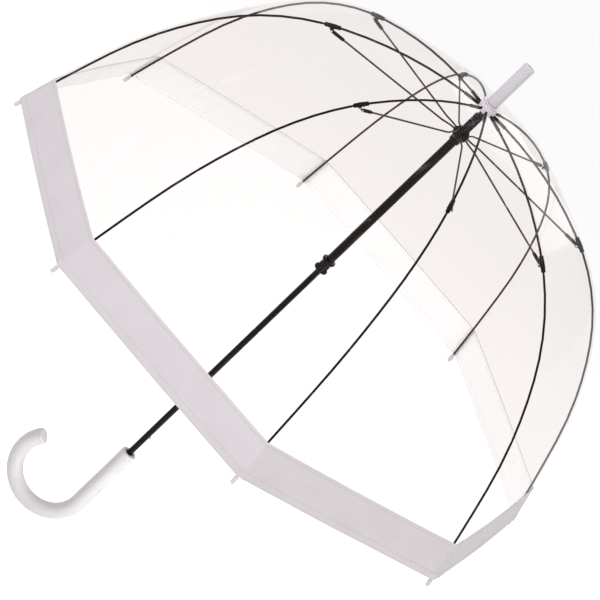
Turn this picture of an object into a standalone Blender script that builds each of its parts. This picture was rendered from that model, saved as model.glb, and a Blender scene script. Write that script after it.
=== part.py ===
"""Clear dome stick umbrella with a crook handle, modelled open.

Metres, +Z up the shaft towards the ferrule. The origin is on the shaft's axis, halfway along the
handle's straight grip. The crook bends towards +X. Rib 1 stands RIB_PHASE degrees round from +X.
"""

from math import asin, atan2, cos, degrees, hypot, pi, radians, sin, sqrt

import bmesh
import bpy
from mathutils import Matrix, Vector

MM = 0.001
GAP = 0.3 * MM  # left between pieces that touch on the real umbrella
RUNNING_GAP = 0.6 * MM  # round a piece that turns in a slot

# Shaft, handle and ferrule
SHAFT_R = 4.15 * MM
SHAFT_WALL = 0.75 * MM
SHAFT_SHOWING = 699.5 * MM  # from the handle's mouth to the ferrule's base
SHAFT_IN_HANDLE = 60 * MM
SHAFT_IN_FERRULE = 23 * MM
CRIMP_BELOW_FERRULE = 443 * MM
CRIMP_DEPTH = 0.3 * MM
HANDLE_R = 11 * MM
HANDLE_STRAIGHT = 107 * MM
CROOK_R = 53 * MM
CROOK_TURN = 212.0  # degrees of bend, from the straight grip to the open end
CAP_LENGTH = 4 * MM
MOUTH_R = SHAFT_R + 2.25 * MM
MOUTH_DEPTH = 3 * MM
FERRULE_R = SHAFT_R + 4.25 * MM
FERRULE_LENGTH = 67.4 * MM
FERRULE_RECESS = 0.6 * MM
FERRULE_RIM = 1.8 * MM

# Crown, where the ribs hinge
CROWN_R = 12.5 * MM
RIB_PIVOT_R = 9.5 * MM
RIB_PIVOT_DROP = 11.25 * MM  # below the ferrule's base
CROWN_BELOW_PIVOT = 2.95 * MM

# Ribs: one flexible rod each, as three stiff lengths between two elbows
RIBS = 8
RIB_PHASE = 16.0
RIB_R = 1.5 * MM
RIB_LENGTH = 647.4 * MM  # crown pivot to the end of the tip, along the curve
CLIP_AT = 211.5 * MM
ELBOW_PAST_CLIP = 12.5 * MM
LOWER_LENGTH = 212 * MM  # from the second elbow to the end of the tip
RIB_SLOPES = (2.0, 26.2, 54.3, 71.1, 74.6)  # degrees below level: pivot, clip, then thirds to the tip
EYE_W = 1.3 * MM
EYE_H = 2.0 * MM
HEAD_R = 2.2 * MM
HEAD_LENGTH = 25 * MM
TIP_R = 2.7 * MM
TIP_LENGTH = 15 * MM
TIP_BORE_DEPTH = 8.5 * MM
CLIP_R = 2.4 * MM
CLIP_LENGTH = 20 * MM
EAR_DROP = 4.5 * MM  # rib's centre to the stretcher's pivot
EAR_THICKNESS = 1.6 * MM
EAR_R = 2.6 * MM
PIN_R = 1.0 * MM

# Stretchers
STRETCHER_R = 1.2 * MM
STRETCHER_OFFSET = 4.5 * MM  # it runs beside its rib, not in line with it
JOGGLE = (8 * MM, 26 * MM)
SLEEVE_R = 1.6 * MM
SLEEVE_LENGTH = 17 * MM
STRETCHER_EYE_W = 1.0 * MM
STRETCHER_EYE_H = 1.8 * MM

# Runner: hub, long tube and thumb grip
HUB_PIVOT_R = 8.5 * MM
HUB_PIVOT_DROP = 56.4 * MM  # below the ferrule's base
HUB_R = 11.2 * MM
HUB_SLEEVE_R = SHAFT_R + 2.15 * MM
HUB_ABOVE = 34 * MM
HUB_BELOW = 14 * MM
TUBE_R = SHAFT_R + 1.7 * MM
TUBE_WALL = 0.9 * MM
TUBE_IN_HUB = 9 * MM
TUBE_IN_GRIP = 8 * MM
GRIP_TOP_DROP = 300.8 * MM  # below the ferrule's base
GRIP_LENGTH = 20 * MM
GRIP_R = SHAFT_R + 5.55 * MM
GRIP_WAIST_R = SHAFT_R + 3.05 * MM
GRIP_FLANGE = 4 * MM
WINDOW_ABOVE_GRIP = 3 * MM
WINDOW_LENGTH = 12 * MM
WINDOW_WIDTH = 3.4 * MM

# Spring catches, on the side away from the crook
CATCH_WIDTH = 2.4 * MM
CATCH_REACH = SHAFT_R + 1.95 * MM
CATCH_NOSE = 7 * MM
CATCH_BLADE = 26 * MM
CATCH_INNER = SHAFT_R - 1.95 * MM
CATCH_THICKNESS = 0.8 * MM

# Canopy: clear film down to a white fabric band
RIB_TO_FILM = 3.8 * MM
FILM_THICKNESS = 0.5 * MM
BAND_THICKNESS = 0.8 * MM
BAND_TOP = 66 * MM  # above the end of the tip, along the rib
BAND_BOTTOM = 12 * MM
FILM_START = 22 * MM
PANEL_BULGE = (0.30, 0.04)  # 0 is a flat panel, 1 is a round dome: at the crown, at the hem

# Closed umbrella: how far from the axis the elbows and tips lie
CLOSED_R = (13.6 * MM, 15.2 * MM, 15.6 * MM)

# What follows from those sizes
MOUTH_Z = HANDLE_STRAIGHT / 2
FERRULE_Z = MOUTH_Z + SHAFT_SHOWING
RIB_PIVOT = Vector((RIB_PIVOT_R, 0, FERRULE_Z - RIB_PIVOT_DROP))
HUB_PIVOT = Vector((HUB_PIVOT_R, 0, FERRULE_Z - HUB_PIVOT_DROP))
GRIP_TOP = FERRULE_Z - GRIP_TOP_DROP
ELBOW_1 = CLIP_AT + ELBOW_PAST_CLIP
ELBOW_2 = RIB_LENGTH - LOWER_LENGTH
BORE_R = SHAFT_R + GAP
SLIDE_R = SHAFT_R + GAP + 0.1 * MM
X, Y, Z = Vector((1, 0, 0)), Vector((0, 1, 0)), Vector((0, 0, 1))


def slope(s):
    """Radians below level at arc length s along a rib, easing from one station to the next."""
    third = (RIB_LENGTH - CLIP_AT) / 3
    stations = (0, CLIP_AT, CLIP_AT + third, CLIP_AT + 2 * third, RIB_LENGTH)
    for k in range(4):
        if s <= stations[k + 1] or k == 3:
            share = (s - stations[k]) / (stations[k + 1] - stations[k])
            return radians(RIB_SLOPES[k] + share * (RIB_SLOPES[k + 1] - RIB_SLOPES[k]))


def rib_point(s, steps=96):
    """Point at arc length s on a rib's centre line, in the rib's own XZ plane."""
    point = RIB_PIVOT.copy()
    for k in range(steps):
        angle = slope((k + 0.5) * s / steps)
        point += Vector((cos(angle), 0, -sin(angle))) * (s / steps)
    return point


def outward(s, distance):
    """Point beside the rib at arc length s, distance out from its centre line."""
    return rib_point(s) + Vector((sin(slope(s)), 0, cos(slope(s)))) * distance


def swung(vector, angle):
    """An XZ vector turned by angle, from level towards straight down."""
    return Matrix.Rotation(angle, 3, "Y") @ vector


def fold_angle(start, end, pivot_r, end_r):
    """How far the length from start to end turns for its end to lie at radius end_r."""
    reach = end - start
    return asin((pivot_r - end_r) / reach.length) + atan2(reach.x, -reach.z)


CLIP_POINT = outward(CLIP_AT, -EAR_DROP)
STRETCHER_LENGTH = (CLIP_POINT - HUB_PIVOT).length
STRETCHER_TILT = atan2(CLIP_POINT.z - HUB_PIVOT.z, CLIP_POINT.x - HUB_PIVOT.x)
ELBOW_POINTS = rib_point(ELBOW_1), rib_point(ELBOW_2)
FOLD_UPPER = fold_angle(RIB_PIVOT, ELBOW_POINTS[0], RIB_PIVOT_R, CLOSED_R[0])
FOLD_MIDDLE = fold_angle(*ELBOW_POINTS, CLOSED_R[0], CLOSED_R[1])
FOLD_LOWER = fold_angle(ELBOW_POINTS[1], rib_point(RIB_LENGTH), CLOSED_R[1], CLOSED_R[2])
CLOSED_CLIP = RIB_PIVOT + swung(CLIP_POINT - RIB_PIVOT, FOLD_UPPER)
CLOSED_HUB_Z = CLOSED_CLIP.z - sqrt(STRETCHER_LENGTH**2 - (CLOSED_CLIP.x - HUB_PIVOT_R) ** 2)
RUNNER_TRAVEL = HUB_PIVOT.z - CLOSED_HUB_Z
STRETCHER_SWING = atan2(CLOSED_CLIP.z - CLOSED_HUB_Z, CLOSED_CLIP.x - HUB_PIVOT_R) - STRETCHER_TILT
WINDOW_TOP = GRIP_TOP + WINDOW_ABOVE_GRIP + WINDOW_LENGTH
UPPER_NOSE_TOP = WINDOW_TOP - GAP
LOWER_NOSE_TOP = GRIP_TOP + WINDOW_ABOVE_GRIP + GAP - RUNNER_TRAVEL + CATCH_NOSE

for leftover in list(bpy.data.objects):
    bpy.data.objects.remove(leftover, do_unlink=True)


def finish(name, colour, roughness, metallic=0.0, alpha=1.0):
    made = bpy.data.materials.new(name)
    made.use_nodes = True
    shader = made.node_tree.nodes["Principled BSDF"]
    shader.inputs["Base Color"].default_value = (*colour, 1)
    shader.inputs["Roughness"].default_value = roughness
    shader.inputs["Metallic"].default_value = metallic
    shader.inputs["Alpha"].default_value = alpha
    return made


WHITE_PLASTIC = finish("white_plastic", (0.84, 0.82, 0.85), 0.35)
BLACK_PLASTIC = finish("black_plastic", (0.020, 0.016, 0.017), 0.4)
SHAFT_PAINT = finish("shaft_paint", (0.018, 0.015, 0.015), 0.25, 0.3)
RIB_PAINT = finish("rib_paint", (0.022, 0.017, 0.018), 0.35, 0.2)
SPRING_STEEL = finish("spring_steel", (0.55, 0.54, 0.53), 0.3, 1.0)
CLEAR_FILM = finish("clear_film", (0.98, 0.96, 0.95), 0.08, 0.0, 0.15)
WHITE_FABRIC = finish("white_fabric", (0.83, 0.81, 0.85), 0.7)


def circle(centre, across, up, width, height, sides):
    """An ellipse of points round centre, half as wide as width, half as high as height."""
    angles = [2 * pi * (k + 0.5) / sides for k in range(sides)]
    return [centre + across * (width * cos(a)) + up * (height * sin(a)) for a in angles]


def loft(rings, closed=False):
    """A skin over rings of equal counts: capped at both ends, or closed round to the first ring."""
    shape = bmesh.new()
    rows = [[shape.verts.new(point) for point in ring] for ring in rings]
    pairs = list(zip(rows, rows[1:])) + ([(rows[-1], rows[0])] if closed else [])
    for near, far in pairs:
        for k in range(len(near)):
            after = (k + 1) % len(near)
            shape.faces.new((near[k], near[after], far[after], far[k]))
    if not closed:
        shape.faces.new(rows[0])
        shape.faces.new(rows[-1])
    bmesh.ops.recalc_face_normals(shape, faces=shape.faces)
    return shape


def turned(profile, sides, closed=False):
    """A turned shape from (radius, height) points."""
    return loft([circle(Z * z, X, Y, r, r, sides) for r, z in profile], closed)


def box(low, high):
    shape = bmesh.new()
    size = Vector(high) - Vector(low)
    middle = (Vector(high) + Vector(low)) / 2
    bmesh.ops.create_cube(shape, size=1, matrix=Matrix.Translation(middle) @ Matrix.Diagonal((*size, 1)))
    return shape


def rod(stations, at, sides=8):
    """A rod through (distance, half width, half height) stations. at(s) gives centre and up."""
    rings = []
    for s, width, height in stations:
        centre, up = at(s)
        rings.append(circle(centre, Y, up, width, height, sides))
    return loft(rings)


def round_start(s, r):
    return [(s + r * (1 - cos(radians(a))), r * sin(radians(a)), r * sin(radians(a))) for a in (28, 90)]


def round_end(s, r):
    return [(2 * s - there, w, h) for there, w, h in reversed(round_start(s, r))]


def even(start, end, count, r):
    return [(start + (end - start) * (k + 1) / (count + 1), r, r) for k in range(count)]


def mesh_of(shape, name):
    mesh = bpy.data.meshes.new(name)
    shape.to_mesh(mesh)
    shape.free()
    mesh.shade_smooth()
    mesh.set_sharp_from_angle(angle=radians(35))
    return mesh


def place(name, mesh, material, origin=(0, 0, 0), parent=None, turn=0.0, tilt=0.0):
    """An object at origin, turned about Z then tilted about its own Y, under parent."""
    made = bpy.data.objects.new(name, mesh)
    if not mesh.materials:
        mesh.materials.append(material)
    bpy.context.scene.collection.objects.link(made)
    spin = Matrix.Rotation(radians(turn), 4, "Z")
    made.matrix_world = spin @ Matrix.Translation(origin) @ Matrix.Rotation(tilt, 4, "Y")
    if parent:
        bpy.context.view_layer.update()
        made.parent = parent
        made.matrix_parent_inverse = parent.matrix_world.inverted()
    return made


def tool(name, shape):
    made = bpy.data.objects.new(name, mesh_of(shape, name))
    bpy.context.scene.collection.objects.link(made)
    made.hide_render = True
    made.display_type = "WIRE"
    return made


def boolean(target, helper, operation="DIFFERENCE"):
    step = target.modifiers.new(helper.name, "BOOLEAN")
    step.operation = operation
    step.solver = "EXACT"
    step.object = helper


def slots(inner, outer, half_width, low, high):
    """A box for each rib, standing out from the axis, as one cutter."""
    shape = bmesh.new()
    for k in range(RIBS):
        spin = Matrix.Rotation(radians(RIB_PHASE + 360 * k / RIBS), 4, "Z")
        middle = Vector(((inner + outer) / 2, 0, (low + high) / 2))
        size = Matrix.Diagonal((outer - inner, 2 * half_width, high - low, 1))
        bmesh.ops.create_cube(shape, size=1, matrix=spin @ Matrix.Translation(middle) @ size)
    return shape


# Shaft tube, with a slot for each spring catch and a shallow crimp
crimp_z = FERRULE_Z - CRIMP_BELOW_FERRULE
shaft_low, shaft_high = MOUTH_Z - SHAFT_IN_HANDLE, FERRULE_Z + SHAFT_IN_FERRULE
shaft_profile = [
    (SHAFT_R - SHAFT_WALL, shaft_low),
    (SHAFT_R, shaft_low),
    (SHAFT_R, crimp_z - 2 * MM),
    (SHAFT_R - CRIMP_DEPTH, crimp_z - 1 * MM),
    (SHAFT_R - CRIMP_DEPTH, crimp_z + 1 * MM),
    (SHAFT_R, crimp_z + 2 * MM),
    (SHAFT_R, shaft_high),
    (SHAFT_R - SHAFT_WALL, shaft_high),
]
shaft = place("shaft_tube", mesh_of(turned(shaft_profile, 24, True), "shaft_tube"), SHAFT_PAINT)
for label, top in (("upper", UPPER_NOSE_TOP), ("lower", LOWER_NOSE_TOP)):
    slot_low = (-SHAFT_R - MM, -CATCH_WIDTH / 2 - GAP, top - CATCH_NOSE - RUNNING_GAP)
    slot_high = (-CATCH_INNER, CATCH_WIDTH / 2 + GAP, top + RUNNING_GAP)
    boolean(shaft, tool(f"{label}_catch_slot", box(slot_low, slot_high)))

# Spring catches: a leaf inside the shaft with a nose that stands out through its slot
pivot_x = CATCH_INNER + CATCH_THICKNESS / 2
leaf_out = CATCH_INNER + CATCH_THICKNESS
blade = CATCH_BLADE
UPPER_NOSE = [(leaf_out, blade - CATCH_NOSE), (CATCH_REACH, blade - 1.6 * MM), (CATCH_REACH, blade)]
LOWER_NOSE = [
    (leaf_out, blade - CATCH_NOSE),
    (CATCH_REACH, blade - CATCH_NOSE),
    (CATCH_REACH, blade - CATCH_NOSE + 1.6 * MM),
    (leaf_out, blade),
]
for name, top, nose in (
    ("upper_catch", UPPER_NOSE_TOP, UPPER_NOSE),
    ("lower_catch", LOWER_NOSE_TOP, LOWER_NOSE),
):
    outline = [(CATCH_INNER, 0), (leaf_out, 0), *nose, (CATCH_INNER, blade)]
    sides = [[Vector((x - pivot_x, y, z)) for x, z in outline] for y in (-CATCH_WIDTH / 2, CATCH_WIDTH / 2)]
    place(name, mesh_of(loft(sides), name), SPRING_STEEL, (pivot_x, 0, top - blade), turn=180)

# Handle: a straight grip bored for the shaft, then the crook
lip = 0.8 * MM
rings = [
    circle(Z * (shaft_low - 1 * MM), X, Y, BORE_R, BORE_R, 24),
    circle(Z * (MOUTH_Z - MOUTH_DEPTH), X, Y, BORE_R, BORE_R, 24),
    circle(Z * (MOUTH_Z - MOUTH_DEPTH), X, Y, MOUTH_R, MOUTH_R, 24),
    circle(Z * MOUTH_Z, X, Y, MOUTH_R, MOUTH_R, 24),
    circle(Z * MOUTH_Z, X, Y, HANDLE_R - lip, HANDLE_R - lip, 24),
    circle(Z * (MOUTH_Z - lip), X, Y, HANDLE_R, HANDLE_R, 24),
]
crook_low = -HANDLE_STRAIGHT / 2
crook_centre = Vector((CROOK_R, 0, crook_low))
crook_steps = round(CROOK_TURN / 12.5)
for k in range(crook_steps + 1):
    angle = radians(CROOK_TURN) * k / crook_steps
    arm = Vector((-cos(angle), 0, -sin(angle)))
    rings.append(circle(crook_centre + arm * CROOK_R, -arm, Y, HANDLE_R, HANDLE_R, 24))
tail_end = crook_centre + arm * CROOK_R
tail_way = Vector((sin(angle), 0, -cos(angle)))
place("handle", mesh_of(loft(rings), "handle"), WHITE_PLASTIC)

cap_profile = [(HANDLE_R, 0), (HANDLE_R, 0.45 * CAP_LENGTH), (0.93 * HANDLE_R, 0.75 * CAP_LENGTH)]
cap_profile += [(0.78 * HANDLE_R, 0.94 * CAP_LENGTH), (0.6 * HANDLE_R, CAP_LENGTH)]
cap_place = tail_end + tail_way * GAP
place("handle_cap", mesh_of(turned(cap_profile, 24), "handle_cap"), WHITE_PLASTIC, cap_place, tilt=radians(180 - CROOK_TURN))

# Ferrule: a plain white sleeve with a blind bore and a recessed top
top = FERRULE_Z + FERRULE_LENGTH
ferrule_profile = [
    (BORE_R, shaft_high + GAP),
    (BORE_R, FERRULE_Z),
    (FERRULE_R - 0.5 * MM, FERRULE_Z),
    (FERRULE_R, FERRULE_Z + 0.5 * MM),
    (FERRULE_R, top - 1 * MM),
    (FERRULE_R - 0.6 * MM, top),
    (FERRULE_R - FERRULE_RIM, top),
    (FERRULE_R - FERRULE_RIM, top - FERRULE_RECESS),
]
place("ferrule", mesh_of(turned(ferrule_profile, 24), "ferrule"), WHITE_PLASTIC)

# Crown: a collar on the shaft, slotted for the rib heads
crown_top = FERRULE_Z - 2 * GAP - FILM_THICKNESS
crown_low = RIB_PIVOT.z - CROWN_BELOW_PIVOT
chamfer = 1 * MM
crown_profile = [
    (BORE_R, crown_top),
    (CROWN_R - chamfer, crown_top),
    (CROWN_R, crown_top - chamfer),
    (CROWN_R, crown_low + chamfer),
    (CROWN_R - chamfer, crown_low),
    (BORE_R, crown_low),
]
crown = place("crown", mesh_of(turned(crown_profile, 32, True), "crown"), WHITE_PLASTIC)
slot_roof = RIB_PIVOT.z + EYE_H + RUNNING_GAP
slot_floor = RIB_PIVOT_R - EYE_H - 1.1 * MM
cutter = slots(slot_floor, CROWN_R + 2 * MM, EYE_W + GAP, crown_low - MM, slot_roof)
boolean(crown, tool("crown_slots", cutter))

# Runner: hub for the stretchers, long tube, thumb grip
hub_z = HUB_PIVOT.z
tube_high = hub_z - HUB_BELOW + TUBE_IN_HUB
hub_profile = [
    (SLIDE_R, hub_z + HUB_ABOVE),
    (HUB_SLEEVE_R - 0.5 * MM, hub_z + HUB_ABOVE),
    (HUB_SLEEVE_R, hub_z + HUB_ABOVE - 1 * MM),
    (HUB_SLEEVE_R, hub_z + 9 * MM),
    (HUB_R - 0.8 * MM, hub_z + 4 * MM),
    (HUB_R, hub_z + 2.8 * MM),
    (HUB_R, hub_z - 4 * MM),
    (TUBE_R + 1.9 * MM, hub_z - 8.5 * MM),
    (TUBE_R + 1.6 * MM, hub_z - HUB_BELOW),
    (TUBE_R + GAP, hub_z - HUB_BELOW),
    (TUBE_R + GAP, tube_high + GAP),
    (SLIDE_R, tube_high + GAP),
]
hub = place("runner_hub", mesh_of(turned(hub_profile, 24, True), "runner_hub"), BLACK_PLASTIC)
slot_floor = HUB_PIVOT_R - STRETCHER_EYE_H - 0.15 * MM
cutter = slots(
    slot_floor,
    HUB_R + 2 * MM,
    STRETCHER_EYE_W + GAP,
    hub_z - STRETCHER_EYE_H - RUNNING_GAP,
    hub_z + 10 * MM,
)
boolean(hub, tool("hub_slots", cutter))

tube_low = GRIP_TOP - TUBE_IN_GRIP
tube_profile = [
    (TUBE_R - TUBE_WALL, tube_low),
    (TUBE_R, tube_low),
    (TUBE_R, tube_high),
    (TUBE_R - TUBE_WALL, tube_high),
]
tube_mesh = mesh_of(turned(tube_profile, 24, True), "runner_tube")
tube = place("runner_tube", tube_mesh, BLACK_PLASTIC, parent=hub)
window_low = (-TUBE_R - MM, -WINDOW_WIDTH / 2, WINDOW_TOP - WINDOW_LENGTH)
window_high = (-SHAFT_R, WINDOW_WIDTH / 2, WINDOW_TOP)
boolean(tube, tool("catch_window", box(window_low, window_high)))

grip_low = GRIP_TOP - GRIP_LENGTH
edge = 1.2 * MM
grip_profile = [
    (TUBE_R + GAP, GRIP_TOP),
    (GRIP_R - edge, GRIP_TOP),
    (GRIP_R, GRIP_TOP - edge),
    (GRIP_R, GRIP_TOP - GRIP_FLANGE + edge),
    (GRIP_WAIST_R + edge, GRIP_TOP - GRIP_FLANGE),
    (GRIP_WAIST_R, GRIP_TOP - GRIP_FLANGE - 3 * MM),
    (GRIP_WAIST_R, grip_low + GRIP_FLANGE + 3 * MM),
    (GRIP_WAIST_R + edge, grip_low + GRIP_FLANGE),
    (GRIP_R, grip_low + GRIP_FLANGE - edge),
    (GRIP_R, grip_low + edge),
    (GRIP_R - edge, grip_low),
    (SLIDE_R, grip_low),
    (SLIDE_R, tube_low - GAP),
    (TUBE_R + GAP, tube_low - GAP),
]
grip_mesh = mesh_of(turned(grip_profile, 20, True), "runner_grip")
place("runner_grip", grip_mesh, BLACK_PLASTIC, parent=hub)


def along_rib(origin):
    """Centre and up at arc length s of a rib, measured from origin."""
    return lambda s: (rib_point(s) - origin, Vector((sin(slope(s)), 0, cos(slope(s)))))


def straight(s):
    """Centre and up of a stretcher, which joggles sideways to clear its rib."""
    share = min(max((s - JOGGLE[0]) / (JOGGLE[1] - JOGGLE[0]), 0), 1)
    return Vector((s, STRETCHER_OFFSET * share * share * (3 - 2 * share), 0)), Z


# Rib lengths
upper_stations = [
    (-EYE_H, 0.5 * EYE_W, 0.4 * EYE_H),
    (-0.7 * EYE_H, 0.95 * EYE_W, 0.8 * EYE_H),
    (0, EYE_W, EYE_H),
    (CROWN_R - RIB_PIVOT_R + 1.5 * MM, EYE_W, EYE_H),
    (CROWN_R - RIB_PIVOT_R + 2.2 * MM, HEAD_R, HEAD_R),
    (HEAD_LENGTH, HEAD_R, HEAD_R),
    (HEAD_LENGTH + 0.8 * MM, RIB_R, RIB_R),
]
upper_stations += even(HEAD_LENGTH, ELBOW_1, 6, RIB_R) + round_end(ELBOW_1 - GAP / 2, RIB_R)
upper_mesh = mesh_of(rod(upper_stations, along_rib(RIB_PIVOT)), "rib_upper")
middle_stations = round_start(ELBOW_1 + GAP / 2, RIB_R) + even(ELBOW_1, ELBOW_2, 7, RIB_R)
middle_stations += round_end(ELBOW_2 - GAP / 2, RIB_R)
middle_mesh = mesh_of(rod(middle_stations, along_rib(ELBOW_POINTS[0])), "rib_middle")
rod_end = RIB_LENGTH - TIP_LENGTH + TIP_BORE_DEPTH - GAP
lower_stations = round_start(ELBOW_2 + GAP / 2, RIB_R) + even(ELBOW_2, rod_end, 5, RIB_R)
lower_stations += round_end(rod_end, RIB_R)
lower_mesh = mesh_of(rod(lower_stations, along_rib(ELBOW_POINTS[1])), "rib_lower")

# Tip: a blind sleeve on the rod's end, here along +X from its mouth
tip_bore = RIB_R + GAP
tip_profile = [
    (tip_bore, TIP_BORE_DEPTH),
    (tip_bore, 0),
    (TIP_R, 0),
    (TIP_R, TIP_LENGTH - 2.6 * MM),
    (0.82 * TIP_R, TIP_LENGTH - 0.9 * MM),
    (0.4 * TIP_R, TIP_LENGTH),
]
tip_rings = [circle(X * along, Y, Z, r, r, 12) for r, along in tip_profile]
tip_mesh = mesh_of(loft(tip_rings), "rib_tip")
tip_point = rib_point(RIB_LENGTH - TIP_LENGTH)

# Clip: a sleeve round the rib with an ear and a pin for the stretcher, along +X about its middle
half = CLIP_LENGTH / 2
clip_bore = RIB_R + GAP
clip_rings = [
    circle(X * along, Y, Z, r, r, 12)
    for r, along in ((clip_bore, -half), (CLIP_R, -half), (CLIP_R, half), (clip_bore, half))
]
clip_maker = place("clip_sleeve", mesh_of(loft(clip_rings, True), "clip_sleeve"), BLACK_PLASTIC)
ear_low, ear_high = -EAR_DROP - EAR_R, -(clip_bore + CLIP_R) / 2
ear_outline = [(-EAR_R, ear_high), (-EAR_R, -EAR_DROP), (-0.6 * EAR_R, ear_low + 0.25 * EAR_R)]
ear_outline += [(0.6 * EAR_R, ear_low + 0.25 * EAR_R), (EAR_R, -EAR_DROP), (EAR_R, ear_high)]
ear_half = EAR_THICKNESS / 2
ear_sides = [[Vector((x, y, z)) for x, z in ear_outline] for y in (-ear_half, ear_half)]
pin_reach = STRETCHER_OFFSET - SLEEVE_R - GAP
pin_rings = [circle(Vector((0, y, -EAR_DROP)), X, Z, PIN_R, PIN_R, 10) for y in (0, pin_reach)]
boolean(clip_maker, tool("clip_ear", loft(ear_sides)), "UNION")
boolean(clip_maker, tool("clip_pin", loft(pin_rings)), "UNION")
bpy.context.view_layer.update()
clip_mesh = bpy.data.meshes.new_from_object(
    clip_maker.evaluated_get(bpy.context.evaluated_depsgraph_get())
)
bpy.data.objects.remove(clip_maker, do_unlink=True)

# Stretcher, along +X from the hub's pivot
reach = STRETCHER_LENGTH
stretcher_stations = [
    (-STRETCHER_EYE_H, 0.5 * STRETCHER_EYE_W, 0.4 * STRETCHER_EYE_H),
    (-0.7 * STRETCHER_EYE_H, 0.95 * STRETCHER_EYE_W, 0.8 * STRETCHER_EYE_H),
    (0, STRETCHER_EYE_W, STRETCHER_EYE_H),
    (2.6 * MM, STRETCHER_EYE_W, 0.85 * STRETCHER_EYE_H),
    (6 * MM, STRETCHER_R, STRETCHER_R),
]
stretcher_stations += even(JOGGLE[0] - 4 * MM, JOGGLE[1] + 4 * MM, 4, STRETCHER_R)
stretcher_stations += [(reach - SLEEVE_LENGTH, STRETCHER_R, STRETCHER_R)]
stretcher_stations += [(reach - SLEEVE_LENGTH + 1 * MM, SLEEVE_R, SLEEVE_R)]
stretcher_stations += round_end(reach + SLEEVE_R, SLEEVE_R)
stretcher_mesh = mesh_of(rod(stretcher_stations, straight), "stretcher")

for k in range(RIBS):
    turn = RIB_PHASE + 360 * k / RIBS
    label = k + 1
    upper = place(f"rib_upper_{label}", upper_mesh, RIB_PAINT, RIB_PIVOT, turn=turn)
    clip_tilt = slope(CLIP_AT)
    place(f"rib_clip_{label}", clip_mesh, BLACK_PLASTIC, rib_point(CLIP_AT), upper, turn, clip_tilt)
    middle = place(f"rib_middle_{label}", middle_mesh, RIB_PAINT, ELBOW_POINTS[0], upper, turn)
    lower = place(f"rib_lower_{label}", lower_mesh, RIB_PAINT, ELBOW_POINTS[1], middle, turn)
    tip_tilt = slope(RIB_LENGTH - TIP_LENGTH / 2)
    place(f"rib_tip_{label}", tip_mesh, WHITE_PLASTIC, tip_point, lower, turn, tip_tilt)
    place(f"stretcher_{label}", stretcher_mesh, RIB_PAINT, HUB_PIVOT, hub, turn, -STRETCHER_TILT)


# Canopy: flat-sided between the ribs, as a stretched skin is
def canopy_ring(radius, z, bulge):
    """Eight ribs' corners at radius, with panels between them that bow out by bulge."""
    points = []
    for k in range(4 * RIBS):
        off_middle = pi / RIBS * (abs(k % 4 - 2) / 2)
        flat = cos(pi / RIBS) / cos(off_middle)
        share = flat + (1 - flat) * bulge
        angle = radians(RIB_PHASE) + 2 * pi * k / (4 * RIBS)
        points.append(Vector((radius * share * cos(angle), radius * share * sin(angle), z)))
    return points


def canopy_skin(stations, distance):
    rings = []
    for s in stations:
        point = outward(s, distance)
        share = s / RIB_LENGTH
        bulge = PANEL_BULGE[0] + (PANEL_BULGE[1] - PANEL_BULGE[0]) * share
        rings.append(canopy_ring(point.x, point.z, bulge))
    return rings


band_start, band_end = RIB_LENGTH - BAND_TOP, RIB_LENGTH - BAND_BOTTOM
film_end = band_start - GAP
film_stations = [FILM_START + (film_end - FILM_START) * k / 12 for k in range(13)]
film_top = FERRULE_Z - GAP
collar_r = CROWN_R + 0.4 * MM
film_rings = [canopy_ring(BORE_R + 0.2 * MM, film_top, 1), canopy_ring(collar_r, film_top, 1)]
film_rings += canopy_skin(film_stations, RIB_TO_FILM + FILM_THICKNESS)
film_rings += canopy_skin(film_stations[::-1], RIB_TO_FILM)
film_rings += [
    canopy_ring(collar_r, film_top - FILM_THICKNESS, 1),
    canopy_ring(BORE_R + 0.2 * MM, film_top - FILM_THICKNESS, 1),
]
place("canopy_film", mesh_of(loft(film_rings, True), "canopy_film"), CLEAR_FILM)

band_stations = [band_start + (band_end - band_start) * k / 2 for k in range(3)]
band_rings = canopy_skin(band_stations, RIB_TO_FILM + BAND_THICKNESS)
band_rings += canopy_skin(band_stations[::-1], RIB_TO_FILM)
place("hem_band", mesh_of(loft(band_rings, True), "hem_band"), WHITE_FABRIC)
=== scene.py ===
"""A clear dome stick umbrella with a white crook handle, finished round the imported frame. Metres."""

from math import atan2, cos, hypot, pi, radians, sin

import bmesh
import bpy
import numpy as np
from mathutils import Matrix, Vector


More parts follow.
